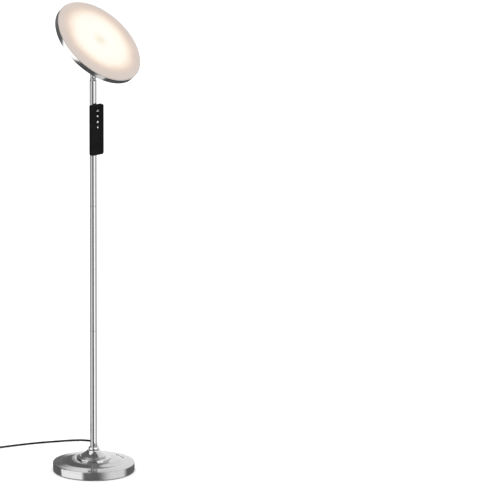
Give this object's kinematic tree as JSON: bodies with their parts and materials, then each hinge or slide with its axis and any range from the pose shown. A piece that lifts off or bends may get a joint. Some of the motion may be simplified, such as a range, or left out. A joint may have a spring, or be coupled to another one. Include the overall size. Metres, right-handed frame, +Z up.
{
  "type": "torchiere floor lamp",
  "caption": "Floor lamp with a weighted round base, a slim pole, a tilting round light head, a cord with a power adapter, and a magnetic remote control.",
  "frame": {"origin": "on the floor, at the centre of the base and on the pole's axis", "axes": "+Z up the pole, +Y towards the side where the cord leaves the base, +X to the right seen from the front"},
  "size_m": [0.5541, 0.5157, 1.5516],
  "materials": {
    "brushed_steel": "satin, brushed round or along the piece",
    "polished_steel": "polished",
    "satin_nickel": "satin nickel plate, brushed round",
    "plain_steel": "zinc plated, dull",
    "brass": "machined",
    "cast_iron": "rough cast, painted",
    "board_aluminium": "white solder mask over aluminium",
    "circuit_board": "satin solder mask",
    "opal_diffuser": "opal, satin, lit from behind",
    "remote_plastic": "satin with a fine spark-eroded grain",
    "button_plastic": "satin",
    "dark_plastic": "satin",
    "smoked_lens": "gloss",
    "nylon": "matt",
    "cable": "satin PVC",
    "foam": "matt closed-cell foam"
  },
  "bodies": {
    "base": {"base_pad": "foam", "base_plate": "plain_steel", "base_weight": "cast_iron", "base_cover": "brushed_steel", "base_stud": "plain_steel", "base_washer": "plain_steel", "base_nut": "plain_steel", "base_step_ring": "polished_steel", "base_bell": "polished_steel", "base_bead": "polished_steel", "touch_bar": "dark_plastic", "touch_board": "circuit_board", "pole_lower": "brushed_steel", "pole_middle": "brushed_steel", "pole_upper": "brushed_steel", "pole_coupler_lower": "plain_steel", "pole_coupler_upper": "plain_steel", "pole_foot_bush": "brass", "pole_top_bush": "polished_steel", "base_lead": "cable", "lead_connector": "dark_plastic", "pole_lead": "cable", "cord_grommet": "cable", "cord_run": "cable", "cord_coil": "cable", "cord_tail": "cable", "coil_tie": "cable", "adapter_body": "dark_plastic", "adapter_strain_relief": "cable", "adapter_blade_left": "brass", "adapter_blade_right": "brass"},
    "neck": {"neck_tube": "brushed_steel", "neck_washer": "nylon", "swivel_stud": "plain_steel", "swivel_nut": "plain_steel", "neck_knuckle": "polished_steel"},
    "head": {"head_housing": "satin_nickel", "head_bracket": "plain_steel", "hinge_bolt": "plain_steel", "hinge_nut": "plain_steel", "hinge_washer_left": "nylon", "hinge_washer_right": "nylon", "bracket_screw_left": "plain_steel", "bracket_screw_right": "plain_steel", "led_board": "board_aluminium", "driver_board": "circuit_board", "diffuser": "opal_diffuser"},
    "remote": {"remote_front": "remote_plastic", "remote_back": "remote_plastic", "remote_board": "circuit_board", "remote_magnet_upper": "plain_steel", "remote_magnet_lower": "plain_steel", "remote_indicator": "smoked_lens"},
    "battery_drawer": {"battery_tray": "remote_plastic", "coin_cell": "plain_steel"},
    "power_key": {"button_power": "button_plastic"},
    "tone_key": {"button_tone": "button_plastic"},
    "brighter_key": {"button_brighter": "button_plastic"},
    "dimmer_key": {"button_dimmer": "button_plastic"}
  },
  "joints": [
    {"name": "head_swivel", "type": "hinge", "parent": "base", "child": "neck", "pos_m": [0, 0, 1.3172], "axis": [0, 0, 1], "range_deg": [-170, 170]},
    {"name": "head_tilt", "type": "hinge", "parent": "neck", "child": "head", "pos_m": [0, 0, 1.416], "axis": [0.5519, 0.8339, 0], "range_deg": [-130, 45]},
    {"name": "remote_detach", "type": "slide", "parent": "base", "child": "remote", "axis": [0.5878, -0.809, 0], "range_m": [0, 0.06]},
    {"name": "battery_tray_slide", "type": "slide", "parent": "remote", "child": "battery_drawer", "axis": [0, 0, -1], "range_m": [0, 0.028]},
    {"name": "press_power", "type": "slide", "parent": "remote", "child": "power_key", "axis": [-0.5878, 0.809, 0], "range_m": [0, 0.0006], "stiffness_N_per_m": 1500},
    {"name": "press_tone", "type": "slide", "parent": "remote", "child": "tone_key", "axis": [-0.5878, 0.809, 0], "range_m": [0, 0.0006], "stiffness_N_per_m": 1500},
    {"name": "press_brighter", "type": "slide", "parent": "remote", "child": "brighter_key", "axis": [-0.5878, 0.809, 0], "range_m": [0, 0.0006], "stiffness_N_per_m": 1500},
    {"name": "press_dimmer", "type": "slide", "parent": "remote", "child": "dimmer_key", "axis": [-0.5878, 0.809, 0], "range_m": [0, 0.0006], "stiffness_N_per_m": 1500}
  ]
}
